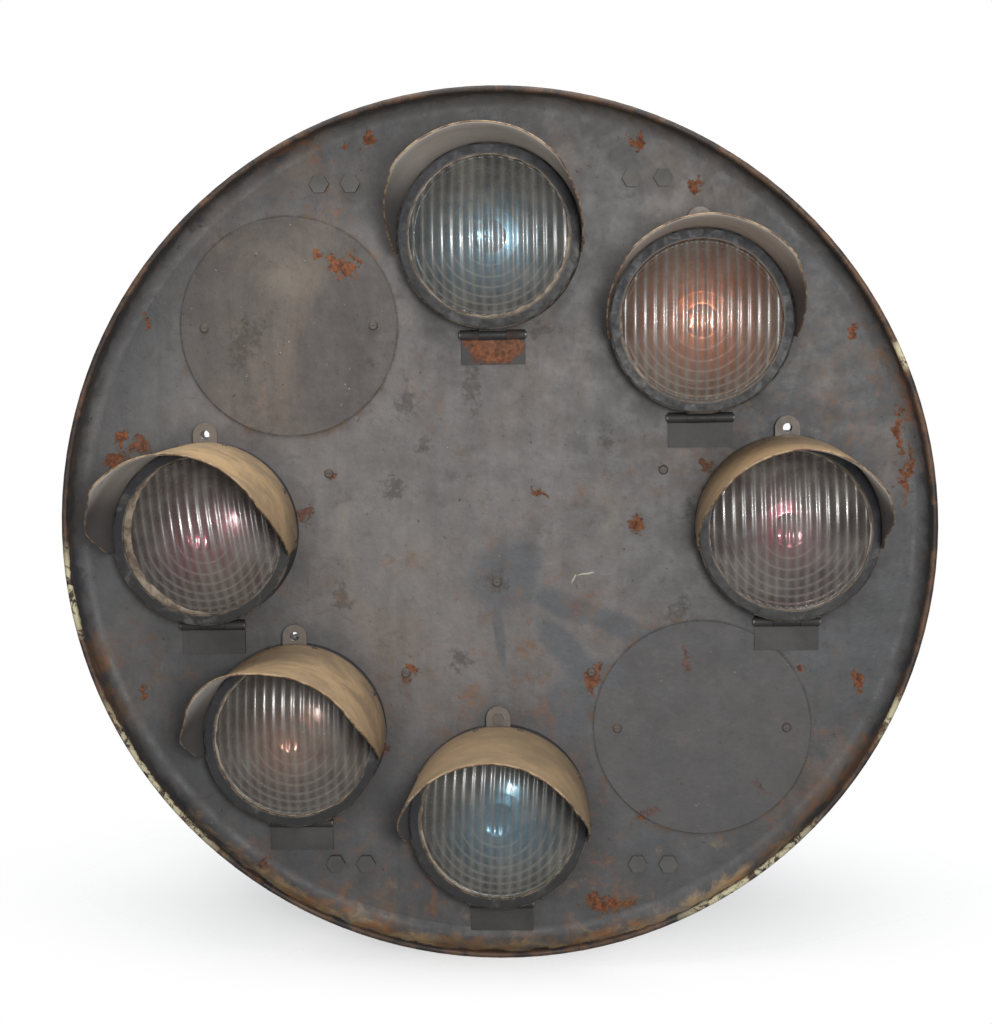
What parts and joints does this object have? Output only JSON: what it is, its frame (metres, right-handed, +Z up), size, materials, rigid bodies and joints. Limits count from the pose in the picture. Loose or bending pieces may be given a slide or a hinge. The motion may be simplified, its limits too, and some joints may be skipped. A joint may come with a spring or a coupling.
{
  "type": "railway position light signal head",
  "caption": "Round steel target disc carrying hooded coloured lamps with fluted cover glasses, blanked lamp places, a rear terminal box and pipe-mast brackets.",
  "frame": {"origin": "on the axis of the pipe mast that the two rear saddles clamp, level with the disc's centre, 300 mm behind the disc's front face", "axes": "+Z up along the mast, +X to the right seen from the front, the lamps look along -Y"},
  "size_m": [1.143, 0.6521, 1.143],
  "materials": {
    "disc_paint": "weathered dark grey paint, chalky, with rust marks",
    "blank_paint": "weathered dark grey paint",
    "screw_steel": "dull, lightly rusted",
    "hinge_rust": "worn paint over orange-brown rust",
    "pin_steel": "dull",
    "gasket_rubber": "aged matt rubber",
    "zinc_steel": "dull zinc plate with brown spots",
    "phenolic": "brown-black moulded phenolic",
    "bulb_glass": "clear",
    "brass": "dull brass",
    "cable_sheath": "matt black sheath",
    "rear_paint": "weathered dark grey paint",
    "bolt_paint": "painted over with the disc",
    "box_paint": "weathered dark grey paint",
    "door_paint": "worn near-black paint, edges bare",
    "hood_paint": "faded tan and khaki paint, speckled",
    "cover_glass": "clear, fluted, dusty",
    "green_glass": "blue-green signal glass",
    "yellow_glass": "orange-yellow signal glass",
    "red_glass": "dark red signal glass",
    "housing_paint": "dull black-grey paint"
  },
  "bodies": {
    "root": {"target_disc": "disc_paint", "blank_plate_upper_left": "blank_paint", "blank_plate_lower_right": "blank_paint", "blank_plate_screws": "screw_steel", "hinge_leaves": "hinge_rust", "hinge_pins": "pin_steel", "door_gaskets": "gasket_rubber", "housing_fasteners": "zinc_steel", "socket_brackets": "zinc_steel", "lamp_sockets": "phenolic", "bulbs": "bulb_glass", "bulb_bases": "brass", "cable_glands": "zinc_steel", "lamp_cables": "cable_sheath", "stiffener_bar": "rear_paint", "front_screws": "screw_steel", "bracket_upper": "rear_paint", "bracket_lower": "rear_paint", "bracket_bolts": "bolt_paint", "hex_nuts": "zinc_steel", "mast_saddle_upper": "rear_paint", "mast_saddle_lower": "rear_paint", "u_bolts": "zinc_steel", "terminal_box": "box_paint", "terminal_box_hinge_pin": "pin_steel", "terminal_block": "phenolic", "terminal_studs": "brass", "lamp_housing_top": "housing_paint", "lamp_housing_upper_right": "housing_paint", "lamp_housing_right": "housing_paint", "lamp_housing_bottom": "housing_paint", "lamp_housing_lower_left": "housing_paint", "lamp_housing_left": "housing_paint"},
    "door_top": {"lens_door_top": "door_paint", "hood_top": "hood_paint", "cover_glass_top": "cover_glass", "color_lens_top": "green_glass"},
    "door_upper_right": {"lens_door_upper_right": "door_paint", "hood_upper_right": "hood_paint", "cover_glass_upper_right": "cover_glass", "color_lens_upper_right": "yellow_glass"},
    "door_right": {"lens_door_right": "door_paint", "hood_right": "hood_paint", "cover_glass_right": "cover_glass", "color_lens_right": "red_glass"},
    "door_bottom": {"lens_door_bottom": "door_paint", "hood_bottom": "hood_paint", "cover_glass_bottom": "cover_glass", "color_lens_bottom": "green_glass", "latch_bolt_bottom": "screw_steel"},
    "door_lower_left": {"lens_door_lower_left": "door_paint", "hood_lower_left": "hood_paint", "cover_glass_lower_left": "cover_glass", "color_lens_lower_left": "yellow_glass"},
    "door_left": {"lens_door_left": "door_paint", "hood_left": "hood_paint", "cover_glass_left": "cover_glass", "color_lens_left": "red_glass"},
    "box_door": {"terminal_box_door": "box_paint", "box_wing_screw": "zinc_steel"}
  },
  "joints": [
    {"name": "door_top_hinge", "type": "hinge", "parent": "root", "child": "door_top", "pos_m": [0, -0.31, 0.255], "axis": [1, 0, 0], "range_deg": [0, 90]},
    {"name": "door_upper_right_hinge", "type": "hinge", "parent": "root", "child": "door_upper_right", "pos_m": [0.26941, -0.31, 0.14341], "axis": [1, 0, 0], "range_deg": [0, 38]},
    {"name": "door_right_hinge", "type": "hinge", "parent": "root", "child": "door_right", "pos_m": [0.381, -0.31, -0.126], "axis": [1, 0, 0], "range_deg": [0, 90]},
    {"name": "door_bottom_hinge", "type": "hinge", "parent": "root", "child": "door_bottom", "pos_m": [0, -0.31, -0.507], "axis": [1, 0, 0], "range_deg": [0, 80]},
    {"name": "door_lower_left_hinge", "type": "hinge", "parent": "root", "child": "door_lower_left", "pos_m": [-0.26941, -0.31, -0.39541], "axis": [1, 0, 0], "range_deg": [0, 87]},
    {"name": "door_left_hinge", "type": "hinge", "parent": "root", "child": "door_left", "pos_m": [-0.381, -0.31, -0.126], "axis": [1, 0, 0], "range_deg": [0, 38]},
    {"name": "box_door_hinge", "type": "hinge", "parent": "root", "child": "box_door", "pos_m": [0, -0.205, -0.209], "axis": [-1, 0, 0], "range_deg": [0, 100]}
  ]
}
